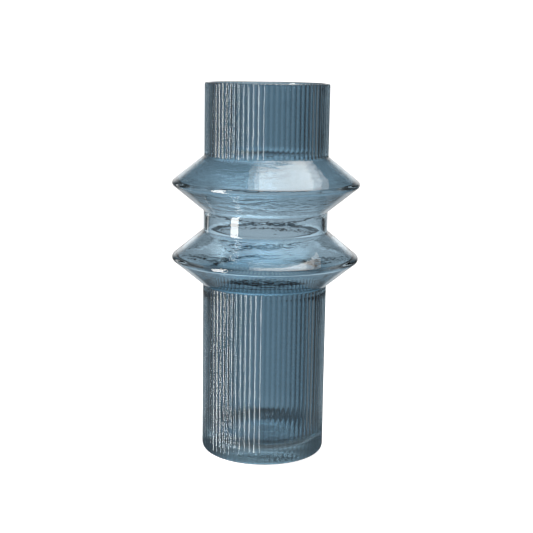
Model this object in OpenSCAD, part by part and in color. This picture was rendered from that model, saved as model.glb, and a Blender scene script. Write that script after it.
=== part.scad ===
// Tall glass vase: a reeded neck and a reeded body, joined by two hollow rings with a
// plain waist between them. The vase is one blown glass wall. It is drawn here as the
// zones of that wall, which meet face to face on flat and conical faces.
// The origin is the centre of the resting face, +Z is up.

/* [Heights] */
// Resting face to the lower ring's lower corner
body_h = 115.6; // [80:0.2:180]
// Lower corner to upper corner of each ring
ring_h = 36.6; // [26:0.2:48]
// Plain band between the two rings
waist_h = 13.4; // [6:0.2:30]
// Upper ring's upper corner to the lip
neck_h = 47.8; // [25:0.2:90]

/* [Diameters] */
// Neck, over the crests of its ribs
neck_d = 82.8; // [68:0.2:100]
// Waist, outside
waist_d = 83.4; // [68:0.2:100]
// Body and foot, over the crests of their ribs
body_d = 83.6; // [68:0.2:100]
// Rings, over their rounded edges
ring_d = 125.4; // [112:0.2:152]

/* [Glass] */
// Wall of the neck, waist and body, from crest to bore
wall = 3; // [2:0.1:4]
// Wall of the rings, square to their slopes
ring_wall = 2.6; // [1.8:0.1:3.6]
// Resting face to the inside floor
floor_t = 9; // [6:0.5:14]

/* [Ribs] */
// Ribs round the neck, and as many round the body
rib_count = 75; // [48:1:96]
// Crest to valley
rib_depth = 0.7; // [0.4:0.05:0.9]

/* [Edges] */
// Outside rounding of each ring's edge
ring_edge_r = 2.4; // [1.5:0.1:4]
// Inside rounding of each ring's edge
ring_hollow_r = 1.2; // [0.5:0.1:2.5]
// Rounding between the inside floor and the wall
floor_corner_r = 6; // [3:0.5:10]
// Outside rounding of the foot
foot_edge_r = 3.6; // [2:0.1:5]
// Bevel on both edges of the lip
lip_bevel = 0.6; // [0.3:0.1:0.9]
// Width of the hollow under the foot
punt_d = 56; // [30:1:60]
// Depth of the hollow under the foot
punt_depth = 1.8; // [0.8:0.1:3]

/* [Hidden] */
$fn = 96;
overrun = 1; // how far a cutting solid runs past the face that it cuts
seat = 0.3; // how far a ring's slope runs in behind the valleys of the ribs that end on it
rib_seat = rib_depth + seat;

foot_h = floor_t + floor_corner_r;
lower_ring_z = body_h;
waist_z = lower_ring_z + ring_h;
upper_ring_z = waist_z + waist_h;
neck_z = upper_ring_z + ring_h;
lip_z = neck_z + neck_h;

function bore_r(d) = d / 2 - wall;
function root_r(d) = d / 2 - rib_depth;

// Centre of the circle that draws one rib, so that neighbours meet at the valley
function rib_centre(d) =
    (pow(d / 2, 2) - pow(root_r(d), 2)) / (d - 2 * root_r(d) * cos(180 / rib_count));

// A ring's slope from the level, tangent to its rounded edge and through the corner of a tube
function ring_slope(tube_d) =
    let (run = ring_d / 2 - ring_edge_r - tube_d / 2, rise = ring_h / 2)
    atan2(rise, run) - asin(ring_edge_r / norm([run, rise]));

// How far a ring's slope climbs past the corner to reach a radius less by depth
function slope_rise(tube_d, depth) = depth * tan(ring_slope(tube_d));

// Height, past the corner, at which a ring's inside slope meets the bore of a tube
function bore_corner(tube_d) =
    slope_rise(tube_d, wall) - ring_wall / cos(ring_slope(tube_d));

// Point on a circle of radius r about c
function on_circle(c, r, angle) = c + r * [cos(angle), sin(angle)];

// Half section of a ring without its hollow, from the lower tube's corner up.
// A depth above 0 carries that slope on, in behind the ribs of that tube.
module ring_section(low_d, low_depth, high_d, high_depth) {
    edge = [ring_d / 2 - ring_edge_r, ring_h / 2];
    low_z = -slope_rise(low_d, low_depth);
    high_z = ring_h + slope_rise(high_d, high_depth);
    polygon([
        [0, low_z],
        [low_d / 2 - low_depth, low_z],
        on_circle(edge, ring_edge_r, ring_slope(low_d) - 90),
        on_circle(edge, ring_edge_r, 90 - ring_slope(high_d)),
        [high_d / 2 - high_depth, high_z],
        [0, high_z]
    ]);
    translate(edge)
        circle(r = ring_edge_r);
}

// Half section of a ring's hollow and of the bore through it
module hollow_section(low_d, high_d) {
    slope = (ring_slope(low_d) + ring_slope(high_d)) / 2;
    edge_x = ring_d / 2 - ring_edge_r - (ring_wall + ring_hollow_r - ring_edge_r) / sin(slope);
    edge = [edge_x, ring_h / 2];
    polygon([
        [0, -ring_h],
        [bore_r(low_d), -ring_h],
        [bore_r(low_d), -bore_corner(low_d)],
        on_circle(edge, ring_hollow_r, ring_slope(low_d) - 90),
        on_circle(edge, ring_hollow_r, 90 - ring_slope(high_d)),
        [bore_r(high_d), ring_h + bore_corner(high_d)],
        [bore_r(high_d), 2 * ring_h],
        [0, 2 * ring_h]
    ]);
    translate(edge)
        circle(r = ring_hollow_r);
}

module ring(low_d, low_depth, high_d, high_depth) {
    rotate_extrude()
        difference() {
            ring_section(low_d, low_depth, high_d, high_depth);
            hollow_section(low_d, high_d);
        }
}

// Round disc with a convex rib at each step round its edge
module reeded_disc(d) {
    circle(r = root_r(d) - rib_depth / 2);
    for (i = [0:rib_count - 1])
        rotate(i * 360 / rib_count)
            translate([rib_centre(d), 0])
                circle(r = d / 2 - rib_centre(d), $fn = 32);
}

module reeded_tube(d, h) {
    linear_extrude(height = h)
        difference() {
            reeded_disc(d);
            circle(r = bore_r(d));
        }
}

// Everything inside the lip's two bevels
module lip_envelope() {
    rotate_extrude()
        polygon([
            [bore_r(neck_d), neck_z - overrun],
            [neck_d / 2 + overrun, neck_z - overrun],
            [neck_d / 2 + overrun, lip_z - lip_bevel - overrun],
            [neck_d / 2 - lip_bevel, lip_z],
            [bore_r(neck_d) + lip_bevel, lip_z],
            [bore_r(neck_d), lip_z - lip_bevel]
        ]);
}

module ribbed_neck() {
    color([0.36, 0.52, 0.63, 0.5])
        intersection() {
            difference() {
                translate([0, 0, neck_z])
                    reeded_tube(neck_d, neck_h);
                translate([0, 0, upper_ring_z])
                    rotate_extrude()
                        ring_section(waist_d, 0, neck_d, rib_seat);
            }
            lip_envelope();
        }
}

module upper_ring() {
    color([0.42, 0.57, 0.67, 0.5])
        translate([0, 0, upper_ring_z])
            ring(waist_d, 0, neck_d, rib_seat);
}

module waist_band() {
    color([0.48, 0.61, 0.70, 0.5])
        translate([0, 0, waist_z])
            difference() {
                cylinder(d = waist_d, h = waist_h);
                translate([0, 0, -overrun])
                    cylinder(r = bore_r(waist_d), h = waist_h + 2 * overrun);
            }
}

module lower_ring() {
    color([0.42, 0.57, 0.67, 0.5])
        translate([0, 0, lower_ring_z])
            ring(body_d, rib_seat, waist_d, 0);
}

module ribbed_body() {
    color([0.34, 0.48, 0.58, 0.5])
        difference() {
            translate([0, 0, foot_h])
                reeded_tube(body_d, body_h - foot_h);
            translate([0, 0, lower_ring_z])
                rotate_extrude()
                    ring_section(body_d, rib_seat, waist_d, 0);
        }
}

// Solid of revolution with a flat bottom and a rounded bottom edge
module round_bottomed(r, h, edge_r) {
    rotate_extrude() {
        square([r - edge_r, h]);
        translate([0, edge_r])
            square([r, h - edge_r]);
        translate([r - edge_r, edge_r])
            circle(r = edge_r);
    }
}

// The shallow hollow under the foot
module punt() {
    punt_r = (pow(punt_d / 2, 2) + pow(punt_depth, 2)) / (2 * punt_depth);
    translate([0, 0, punt_depth - punt_r])
        sphere(r = punt_r);
}

module base() {
    color([0.30, 0.45, 0.56, 0.6])
        difference() {
            intersection() {
                linear_extrude(height = foot_h)
                    reeded_disc(body_d);
                round_bottomed(body_d / 2, foot_h + overrun, foot_edge_r);
            }
            translate([0, 0, floor_t])
                round_bottomed(bore_r(body_d), floor_corner_r + overrun, floor_corner_r);
            punt();
        }
}

ribbed_neck();
upper_ring();
waist_band();
lower_ring();
ribbed_body();
base();
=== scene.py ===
import math

import bmesh
import bpy
from mathutils import Matrix, Vector, noise


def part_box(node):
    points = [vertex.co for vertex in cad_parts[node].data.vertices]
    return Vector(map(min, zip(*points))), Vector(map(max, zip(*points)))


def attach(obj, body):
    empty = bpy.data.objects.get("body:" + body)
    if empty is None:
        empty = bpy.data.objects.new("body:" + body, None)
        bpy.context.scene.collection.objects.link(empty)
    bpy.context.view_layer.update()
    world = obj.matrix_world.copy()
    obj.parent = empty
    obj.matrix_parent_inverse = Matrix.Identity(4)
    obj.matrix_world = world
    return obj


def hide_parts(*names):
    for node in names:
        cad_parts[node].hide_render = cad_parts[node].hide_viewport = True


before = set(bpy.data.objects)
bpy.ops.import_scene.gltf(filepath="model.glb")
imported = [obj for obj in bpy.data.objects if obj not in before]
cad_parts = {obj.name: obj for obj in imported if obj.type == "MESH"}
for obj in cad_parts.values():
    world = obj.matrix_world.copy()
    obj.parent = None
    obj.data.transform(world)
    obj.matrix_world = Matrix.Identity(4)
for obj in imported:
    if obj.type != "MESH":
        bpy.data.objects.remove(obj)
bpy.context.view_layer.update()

tiny = 1e-6  # lengths below this count as nothing


class Wire:
    # a shader socket that can be used in plain arithmetic

    def __init__(self, maker, socket):
        self.maker = maker
        self.socket = socket

    def output(self, index):
        return Wire(self.maker, self.socket.node.outputs[index])

    def maths(self, operation, a, b):
        return self.maker.node("ShaderNodeMath", {"operation": operation}, {0: a, 1: b})

    def __add__(self, other):
        return self.maths("ADD", self, other)

    def __radd__(self, other):
        return self.maths("ADD", other, self)

    def __mul__(self, other):
        return self.maths("MULTIPLY", self, other)

    def __rmul__(self, other):
        return self.maths("MULTIPLY", other, self)


class Nodes:
    # adds nodes to one material or world

    def __init__(self, owner):
        owner.use_nodes = True
        self.tree = owner.node_tree
        self.tree.nodes.clear()

    def node(self, kind, settings=None, inputs=None, output=0):
        made = self.tree.nodes.new(kind)
        for name, value in (settings or {}).items():
            setattr(made, name, value)
        for name, value in (inputs or {}).items():
            if isinstance(value, Wire):
                self.tree.links.new(value.socket, made.inputs[name])
            else:
                made.inputs[name].default_value = value
        return Wire(self, made.outputs[output]) if len(made.outputs) else made


def meshObject(bm, name):
    mesh = bpy.data.meshes.new(name)
    bm.to_mesh(mesh)
    bm.free()
    mesh.shade_smooth()
    made = bpy.data.objects.new(name, mesh)
    bpy.context.scene.collection.objects.link(made)
    return made


# heights and radii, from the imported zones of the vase
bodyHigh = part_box("ribbed_body")[1]
waistLow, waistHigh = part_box("waist_band")
neckLow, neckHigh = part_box("ribbed_neck")
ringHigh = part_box("upper_ring")[1]
bodyTop, waistBottom, waistTop, neckBottom, lip = bodyHigh.z, waistLow.z, waistHigh.z, neckLow.z, neckHigh.z
bodyRadius, waistRadius, neckRadius, ringRadius = bodyHigh.x, waistHigh.x, neckHigh.x, ringHigh.x
lowerMiddle, upperMiddle = (bodyTop + waistBottom) / 2, (waistTop + neckBottom) / 2

vase = {
    "ribs": 75,
    "ribSteps": 6,           # mesh columns to a rib
    "ribDepth": 0.0007,
    "ribEnd": 0.0014,        # the last row of plain ribs is this far from a ring
    "ribBlend": 0.0003,      # rounding where a rib meets a ring
    "ribAtLip": 0.3,         # share of the ribs' depth that is left on the lip
    "wall": 0.003,
    "ringWall": 0.0026,
    "ringEdge": 0.0024,      # outside rounding of a ring's edge
    "edgeZone": 0.006,       # strip along a ring's edge
    "hollowEdge": 0.0018,    # inside rounding of a ring's edge
    "corner": 0.0012,        # soft outside corners beside the rings
    "cornerZone": 0.003,     # strip beside such a corner
    "innerCorner": 0.008,
    "innerZone": 0.004,      # strip beside an inner corner
    "lipRound": 0.0011,
    "lipZone": 0.010,        # the waves die out over this height below the lip
    "footRound": 0.0036,
    "floor": 0.009,
    "floorCorner": 0.010,
    "floorZone": 0.030,      # height of the wall's lowest zone
    "puntRadius": 0.028,
    "puntRound": 0.008,
    "puntDepth": 0.0018,
    "ripple": 0.00016,       # waves on the blown inside of the rings
    "rippleLength": 0.011,   # along the ring
    "rippleWidth": 0.006,    # across it
    "rippleSeed": 9.1,
    "unevenness": 0.0002,    # slow change of the wall's thickness
    "unevenLength": 0.035,
    "unevenSeed": 3.7,
    "unevenTint": 1.2,       # the paler the glass, the more it was blown: even at this depth of tint
    "crestTintPaintedPale": 0.38,       # share of the tint on the crest of a rib, kept low as painted light along the crest
    "groovePaintedShade": 0.95,      # share added towards the groove, as painted shade along it
    "rippledRow": 0.0024,    # longest mesh edge up the wall where it ripples
    "insideRow": 0.009,      # and elsewhere inside
    "outsideRow": 0.012,     # and outside
    "rippledFrom": 0.2,      # strength of ripple that needs the short rows
}

# slope of the rings, tangent to their rounded edge
run = ringRadius - vase["ringEdge"] - (waistRadius + neckRadius) / 2
rise = (neckBottom - waistTop) / 2
slope = math.atan2(rise, run) - math.asin(vase["ringEdge"] / math.hypot(run, rise))
ringTip = ringRadius - vase["ringEdge"] + vase["ringEdge"] / math.sin(slope)  # where both slopes would meet
hollowTip = ringTip - vase["ringWall"] / math.sin(slope)
cornerDrop = vase["ringWall"] / math.cos(slope) - vase["wall"] * math.tan(slope)


def ribInset(angle):
    # how far the surface lies inside a rib's crest at this angle round the vase
    pitch = 2 * math.pi / vase["ribs"]
    crest, valley = neckRadius, neckRadius - vase["ribDepth"]
    centre = (crest ** 2 - valley ** 2) / (2 * (crest - valley * math.cos(pitch / 2)))
    off = (angle + pitch / 2) % pitch - pitch / 2
    return crest - centre * math.cos(off) - math.sqrt((crest - centre) ** 2 - (centre * math.sin(off)) ** 2)


# the glass tint across a rib: paler on the crest as painted light, deeper in the groove as painted shade
def ribTintPaintedLightAndShade(angle):
    return vase["crestTintPaintedPale"] + vase["groovePaintedShade"] * ribInset(angle) / vase["ribDepth"]


def softMax(a, b, blend):
    # the larger of two lengths, with a rounded change from one to the other
    near = max(0, blend - abs(a - b)) / blend
    return max(a, b) + near * near * blend / 4


def sectionPoints():
    # the wall from under the foot, up the outside, over the lip and down to the inside floor
    wall, corner, innerCorner = vase["wall"], vase["corner"], vase["innerCorner"]
    beside, besideRise = vase["cornerZone"], vase["cornerZone"] * math.tan(slope)
    edge, edgeRound, hollowRound = ringRadius - vase["edgeZone"], vase["ringEdge"], vase["hollowEdge"]
    edgeHalf = (ringTip - ringRadius + vase["edgeZone"]) * math.tan(slope)
    inBody, inWaist, inNeck = bodyRadius - wall, waistRadius - wall, neckRadius - wall
    return [  # radius, height, rounding, steps of the rounding, inside, ripple, depth of tint (glass colour, set deeper on the ribbed zones as painted shade)
        (0, vase["puntDepth"], 0, 0, 0, 0, 0.8),
        (vase["puntRadius"], 0, vase["puntRound"], 3, 0, 0, 0.8),
        (bodyRadius, 0, vase["footRound"], 7, 0, 0, 0.8),
        (bodyRadius, bodyTop - vase["ribEnd"], 0, 0, 0, 0, 1),
        (bodyRadius, bodyTop, corner, 6, 0, 0, 1),
        (bodyRadius + beside, bodyTop + besideRise, 0, 0, 0, 0, 1),
        (edge, lowerMiddle - edgeHalf, 0, 0, 0, 0, 0.15),
        (ringTip, lowerMiddle, edgeRound, 8, 0, 0, 0.15),
        (edge, lowerMiddle + edgeHalf, 0, 0, 0, 0.05, 0),
        (waistRadius + beside, waistBottom - besideRise, 0, 0, 0, 0.12, 0),
        (waistRadius, waistBottom, corner, 4, 0, 0, 0),
        (waistRadius, waistTop, corner, 4, 0, 0, 0),
        (waistRadius + beside, waistTop + besideRise, 0, 0, 0, 0.12, 0.1),
        (edge, upperMiddle - edgeHalf, 0, 0, 0, 0.05, 0.5),
        (ringTip, upperMiddle, edgeRound, 8, 0, 0, 0.5),
        (edge, upperMiddle + edgeHalf, 0, 0, 0, 0.16, 0.6),
        (neckRadius + beside, neckBottom - besideRise, 0, 0, 0, 0.28, 0.6),
        (neckRadius, neckBottom, corner, 6, 0, 0, 0.7),
        (neckRadius, neckBottom + vase["ribEnd"], 0, 0, 0, 0, 1),
        (neckRadius, lip, vase["lipRound"], 4, 0, 0, 1),
        (inNeck, lip, vase["lipRound"], 4, 1, 0, 0.8),
        (inNeck, neckBottom + vase["innerZone"], 0, 0, 1, 0, 0.8),
        (inNeck, neckBottom - cornerDrop, innerCorner, 4, 1, 0.4, 0.6),
        (hollowTip, upperMiddle, hollowRound, 5, 1, 0.5, 0.4),
        ((hollowTip + inWaist) / 2, (upperMiddle + waistTop + cornerDrop) / 2, 0, 0, 1, 1, 0.2),
        (inWaist, waistTop + cornerDrop, innerCorner, 4, 1, 0.3, 0),
        (inWaist, (waistTop + waistBottom) / 2, 0, 0, 1, 0.05, 0),
        (inWaist, waistBottom - cornerDrop, innerCorner, 4, 1, 0.06, 0),
        (hollowTip, lowerMiddle, hollowRound, 5, 1, 0.21, 0.05),
        ((hollowTip + inBody) / 2, (lowerMiddle + bodyTop + cornerDrop) / 2, 0, 0, 1, 0.04, 0.15),
        (inBody, bodyTop + cornerDrop, innerCorner, 4, 1, 0.04, 0.7),
        (inBody, bodyTop - vase["innerZone"], 0, 0, 1, 0, 0.8),
        (inBody, vase["floorZone"], 0, 0, 1, 0, 0.8),
        (inBody, vase["floor"], vase["floorCorner"], 6, 1, 0.7, 0.6),
        (0, vase["floor"], 0, 0, 1, 0.4, 0.6),
    ]


def halfSection(bm):
    inside, ripple, along, depth = (bm.verts.layers.float.new(name) for name in (
        "inside", "ripple", "along", "depth"))
    points = sectionPoints()
    verts = []
    for radius, height, _, _, side, rippled, deep in points:
        verts.append(bm.verts.new((radius, 0, height)))
        verts[-1][inside], verts[-1][ripple], verts[-1][depth] = side, rippled, deep
    for pair in zip(verts, verts[1:]):
        bm.edges.new(pair)
    for i, (_, _, rounding, steps, _, _, _) in enumerate(points):
        if steps:
            before, after = (Vector(points[i + way][:2]) - Vector(points[i][:2]) for way in (-1, 1))
            turn = math.pi - before.angle(after)
            bmesh.ops.bevel(bm, geom=[verts[i]], offset=rounding * math.tan(turn / 2), offset_type="OFFSET",
                            affect="VERTICES", segments=steps, profile=0.5, material=-1)
    for edge in bm.edges[:]:
        a, b = edge.verts
        if min(a[ripple], b[ripple]) > vase["rippledFrom"]:
            longest = vase["rippledRow"]
        else:
            longest = vase["insideRow"] if a[inside] > 0.5 else vase["outsideRow"]
        cuts = int(edge.calc_length() / longest)
        if cuts:
            bmesh.ops.subdivide_edges(bm, edges=[edge], cuts=cuts)
    measureAlong(bm, along)
    return inside, ripple, along, depth


def measureAlong(bm, along):
    # distance up the section from under the foot, for patterns that follow the wall
    at = min((v for v in bm.verts if len(v.link_edges) == 1), key=lambda v: v.co.z)
    came, distance = None, 0
    while at is not None:
        at[along] = distance
        ahead = [e for e in at.link_edges if e is not came]
        if not ahead:
            break
        came = ahead[0]
        distance += came.calc_length()
        at = came.other_vert(at)


def wallWave(angle, along, length, width, seed):
    # smooth noise that closes on itself round the vase
    reach = bodyRadius / length
    return noise.noise(Vector((math.cos(angle) * reach + seed, math.sin(angle) * reach, along / width)))


def buildVase():
    bm = bmesh.new()
    inside, ripple, along, depth = halfSection(bm)
    rows = len(bm.verts)
    bmesh.ops.spin(bm, geom=bm.verts[:] + bm.edges[:], cent=(0, 0, 0), axis=(0, 0, 1), dvec=(0, 0, 0),
                   angle=2 * math.pi, steps=vase["ribs"] * vase["ribSteps"], use_merge=True,
                   use_normal_flip=False, use_duplicate=False)
    bmesh.ops.remove_doubles(bm, verts=bm.verts[:], dist=tiny / 10)
    bmesh.ops.recalc_face_normals(bm, faces=bm.faces[:])
    flow = bm.verts.layers.float_vector.new("flow")
    for v in bm.verts:
        radius, angle, z = v.co.xy.length, math.atan2(v.co.y, v.co.x), v.co.z
        v[flow] = (math.cos(angle) * bodyRadius, math.sin(angle) * bodyRadius, v[along])
        if radius < tiny:
            continue
        if v[inside] > 0.5:
            slow = vase["unevenness"] * (vase["unevenTint"] - v[depth]) * wallWave(
                angle, v[along], vase["unevenLength"], vase["unevenLength"], vase["unevenSeed"])
            quick = vase["ripple"] * v[ripple] * wallWave(
                angle, v[along], vase["rippleLength"], vase["rippleWidth"], vase["rippleSeed"])
            grown = radius + min(1, (lip - z) / vase["lipZone"]) * (slow + quick)
        elif z > neckBottom:
            # painted light on the rib crests, painted shade in the grooves
            v[depth] *= ribTintPaintedLightAndShade(angle)
            fade = min(1, max(vase["ribAtLip"], (lip - z) / vase["lipRound"]))
            ring = neckRadius - (z - neckBottom) / math.tan(slope)
            grown = softMax(radius - fade * ribInset(angle), ring, vase["ribBlend"])
        elif vase["footRound"] < z < bodyTop:
            # painted light on the rib crests, painted shade in the grooves
            v[depth] *= ribTintPaintedLightAndShade(angle)
            ring = bodyRadius - (bodyTop - z) / math.tan(slope)
            grown = softMax(radius - ribInset(angle), ring, vase["ribBlend"])
        elif z < vase["footRound"] + tiny:
            grown = min(radius, bodyRadius - ribInset(angle))
        else:
            continue
        v.co.x, v.co.y = v.co.x * grown / radius, v.co.y * grown / radius
    print("vase:", rows, "rows,", len(bm.faces), "faces")
    return meshObject(bm, "vaseGlass")


glass = {
    "deepTint": (0.245, 0.40, 0.50, 1),    # the colour sits in the skins of the glass; where this deep tint lies on the ribbed zones and in the grooves, it is painted shade
    "paleTint": (0.70, 0.825, 0.905, 1),   # paler where the glass is blown out, and on the rib crests as painted light
    "roughness": 0.0,
    "ior": 1.5,
    "taken": (4, 2, 1.2),     # red, green and blue light taken up by the clear glass, per metre
    "mostTaken": 0.9,         # the strongest of them, as a share of the volume's density
    "rippleLength": 0.007,
    "rippleWidth": 0.0028,
    "rippleHeight": 0.0006,
    "rippleDetail": 2.0,
}


def glassMaterial():
    made = bpy.data.materials.new("smokyBlueGlass")
    nodes = Nodes(made)
    flow = nodes.node("ShaderNodeAttribute", {"attribute_name": "flow"}, output=1)
    ripple = nodes.node("ShaderNodeAttribute", {"attribute_name": "ripple"}, output=2)
    depth = nodes.node("ShaderNodeAttribute", {"attribute_name": "depth"}, output=2)
    scale = (1 / glass["rippleLength"], 1 / glass["rippleLength"], 1 / glass["rippleWidth"])
    stretched = nodes.node("ShaderNodeVectorMath", {"operation": "MULTIPLY"}, {0: flow, 1: scale})
    fine = nodes.node("ShaderNodeTexNoise", {}, {
        "Vector": stretched, "Scale": 1.0, "Detail": glass["rippleDetail"]})
    bump = nodes.node("ShaderNodeBump", {}, {
        "Strength": 1.0, "Distance": glass["rippleHeight"], "Height": fine * ripple})
    # a Mix node's sockets 0, 6 and 7 are its factor and two colours, and its output 2 is the colour
    # the glass colour, deeper on the ribbed zones and in the rib grooves as painted shade, paler on the
    # crests as painted light
    tintWithPaintedShade = nodes.node("ShaderNodeMix", {"data_type": "RGBA"}, {
        0: depth, 6: glass["paleTint"], 7: glass["deepTint"]}, output=2)
    shader = nodes.node("ShaderNodeBsdfPrincipled", {}, {
        "Base Color": tintWithPaintedShade, "Roughness": glass["roughness"], "IOR": glass["ior"],
        "Transmission Weight": 1.0, "Normal": bump})
    density = max(glass["taken"]) / glass["mostTaken"]
    colour = [1 - taken / density for taken in glass["taken"]] + [1]
    volume = nodes.node("ShaderNodeVolumeAbsorption", {}, {"Color": colour, "Density": density})
    nodes.node("ShaderNodeOutputMaterial", {}, {"Surface": shader, "Volume": volume})
    return made


vaseGlass = buildVase()
vaseGlass.data.materials.append(glassMaterial())
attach(vaseGlass, "root")
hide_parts("ribbed_neck", "upper_ring", "waist_band", "lower_ring", "ribbed_body", "base")
print("glass made")

stage = {
    "radius": 1.6,
    "height": 1.6,
    "sides": 96,
    "sweep": 0.5,      # rounding between floor and backdrop
    "sweepSteps": 10,
    "paint": (0.8, 0.8, 0.8, 1),
    "roughness": 0.9,
    "glow": 1.0,
}


def stagePaint():
    made = bpy.data.materials.new("palePaint")
    nodes = Nodes(made)
    shader = nodes.node("ShaderNodeBsdfPrincipled", {}, {
        "Base Color": stage["paint"], "Roughness": stage["roughness"],
        "Emission Color": (1, 1, 1, 1), "Emission Strength": stage["glow"]})
    nodes.node("ShaderNodeOutputMaterial", {}, {"Surface": shader})
    return made


def buildStage():
    # a plain pale floor that curves up into a round backdrop, so that it serves every view
    radius, height, near = stage["radius"], stage["height"], stage["height"] / 1000
    bm = bmesh.new()
    bmesh.ops.create_cone(bm, cap_ends=True, segments=stage["sides"], radius1=radius, radius2=radius,
                          depth=height, matrix=Matrix.Translation((0, 0, height / 2)))
    top = [f for f in bm.faces if f.calc_center_median().z > height - near]
    bmesh.ops.delete(bm, geom=top, context="FACES_ONLY")
    foot = [e for e in bm.edges if all(v.co.z < near for v in e.verts)]
    bmesh.ops.bevel(bm, geom=foot, offset=stage["sweep"], offset_type="OFFSET", affect="EDGES",
                    segments=stage["sweepSteps"], profile=0.5, material=-1)
    bmesh.ops.reverse_faces(bm, faces=bm.faces[:])  # the side towards the vase is the front
    made = meshObject(bm, "paleSweep")
    made.data.materials.append(stagePaint())
    # the glass sees the grey room instead, so that it stands out from the white floor
    made.visible_transmission = made.visible_glossy = made.visible_diffuse = False


buildStage()
print("stage made")

stripColour, panelColour = (1, 0.98, 0.95), (1, 0.95, 0.90)
strips = {  # place, aims at, width, height, watts, colour
    "leftStrip": ((-0.31, -0.216, 0.22), (0, 0, 0.22), 0.1, 0.68, 3.3, stripColour),
    "leftBack": ((-0.30, 0.235, 0.07), (0, 0, 0.07), 0.05, 0.38, 0.09, stripColour),
}
panels = {  # one soft light, nested so that it fades towards its edge
    "overheadWide": ((0.21, 0.125, 0.90), (0.21, 0.125, 0), 0.72, 0.80, 3.0, panelColour),
    "overheadMiddle": ((0.20, 0.125, 0.91), (0.20, 0.125, 0), 0.60, 0.66, 2.4, panelColour),
    "overheadInner": ((0.18, 0.125, 0.92), (0.18, 0.125, 0), 0.48, 0.50, 1.9, panelColour),
}


def addLight(name, place, aim, width, height, watts, colour):
    data = bpy.data.lights.new(name, "AREA")
    data.shape, data.size, data.size_y = "RECTANGLE", width, height
    data.energy, data.color = watts, colour
    made = bpy.data.objects.new(name, data)
    made.location = place
    made.rotation_euler = (Vector(place) - Vector(aim)).to_track_quat("Z", "Y").to_euler()
    made.visible_camera = False
    bpy.context.scene.collection.objects.link(made)
    return made


for name, facts in strips.items():
    # clean lines on the outside of the glass, without a haze inside it
    addLight(name, *facts).visible_transmission = False
for name, facts in panels.items():
    addLight(name, *facts)
print("lights made")

# The room is painted by direction: depth goes from -1 in front of the vase to 1 behind it, height from
# -1 below to 1 above, and each pair says where a change starts and ends.
room = {
    "behind": 0.62,             # brightness straight behind the vase
    "behindEnds": (0.3, 0.8),
    "side": 0.28,
    "front": 0.36,
    "frontEnds": (-0.5, -0.1),
    "wedge": 0.04,              # what is left in the dark wedges at both sides of the bright part
    "wedgeEnds": (0.26, 0.46),
    "below": 0.2,               # what is left towards the vase's foot
    "belowEnds": (-0.52, -0.42),
    "horizon": 1.6,             # gain from eye level up
    "horizonEnds": (-0.04, 0.03),
    "edge": 0.02,               # what is left in the dark far edge of the table
    "edgeLower": (-0.2075, -0.205),
    "edgeUpper": (-0.189, -0.181),
    "above": 0.1,               # what is left overhead
    "aboveEnds": (0.15, 0.40),
    "table": 0.09,              # light from the table right under the vase
    "tableEnds": (-0.68, -0.58),
    "everywhere": 0.008,
}


def buildRoom():
    made = bpy.data.worlds.new("greyRoom")
    nodes = Nodes(made)
    towards = nodes.node("ShaderNodeTexCoord")
    parts = nodes.node("ShaderNodeSeparateXYZ", {}, {0: towards})
    across = nodes.node("ShaderNodeMath", {"operation": "ABSOLUTE"}, {0: parts})
    depth, height = parts.output(1), parts.output(2)

    def change(value, ends, before, after):
        return nodes.node("ShaderNodeMapRange", {"interpolation_type": "SMOOTHSTEP"}, {
            "Value": value, "From Min": ends[0], "From Max": ends[1], "To Min": before, "To Max": after})

    level = change(depth, room["frontEnds"], room["front"] - room["side"], 0) + room["side"]
    level = level + change(depth, room["behindEnds"], 0, room["behind"] - room["side"])
    level = level * change(across * depth, room["wedgeEnds"], 1, room["wedge"])
    level = level * change(height, room["belowEnds"], room["below"], 1)
    level = level * change(height, room["horizonEnds"], 1, room["horizon"])
    level = level * (change(height, room["edgeLower"], 1, room["edge"])
                     + change(height, room["edgeUpper"], 0, 1 - room["edge"]))
    level = level * change(height, room["aboveEnds"], 1, room["above"])
    level = level + change(height, room["tableEnds"], room["table"], 0) + room["everywhere"]
    sky = nodes.node("ShaderNodeBackground", {}, {"Color": (1, 1, 1, 1), "Strength": level})
    nodes.node("ShaderNodeOutputWorld", {}, {"Surface": sky})
    return made


bpy.context.scene.world = buildRoom()
print("room made")

camera = {
    "distance": 0.743,     # in front of the vase's axis
    "height": 0.2656,
    "pitch": 0.1845,       # looks down, in radians
    "roll": 0.0155,
    "yaw": -0.00155,
    "lens": 75.24,         # millimetres, on a sensor of this width
    "sensor": 36,
    "clip": (0.05, 20),
}


def addCamera():
    data = bpy.data.cameras.new("camera")
    data.lens, data.sensor_width = camera["lens"], camera["sensor"]
    data.clip_start, data.clip_end = camera["clip"]
    made = bpy.data.objects.new("camera", data)
    made.location = (0, -camera["distance"], camera["height"])
    turns = ((camera["yaw"], "Z"), (math.pi / 2 - camera["pitch"], "X"), (camera["roll"], "Z"))
    yaw, pitch, roll = (Matrix.Rotation(turn, 3, axis) for turn, axis in turns)
    made.rotation_euler = (yaw @ pitch @ roll).to_euler()
    bpy.context.scene.collection.objects.link(made)
    bpy.context.scene.camera = made


addCamera()
print("camera set")

bounces = {  # light crosses the walls of the glass many times
    "max_bounces": 32,
    "transmission_bounces": 32,
    "glossy_bounces": 16,
    "transparent_max_bounces": 16,
}
scene = bpy.context.scene
scene.view_settings.view_transform = "Standard"
for name, count in bounces.items():
    setattr(scene.cycles, name, count)
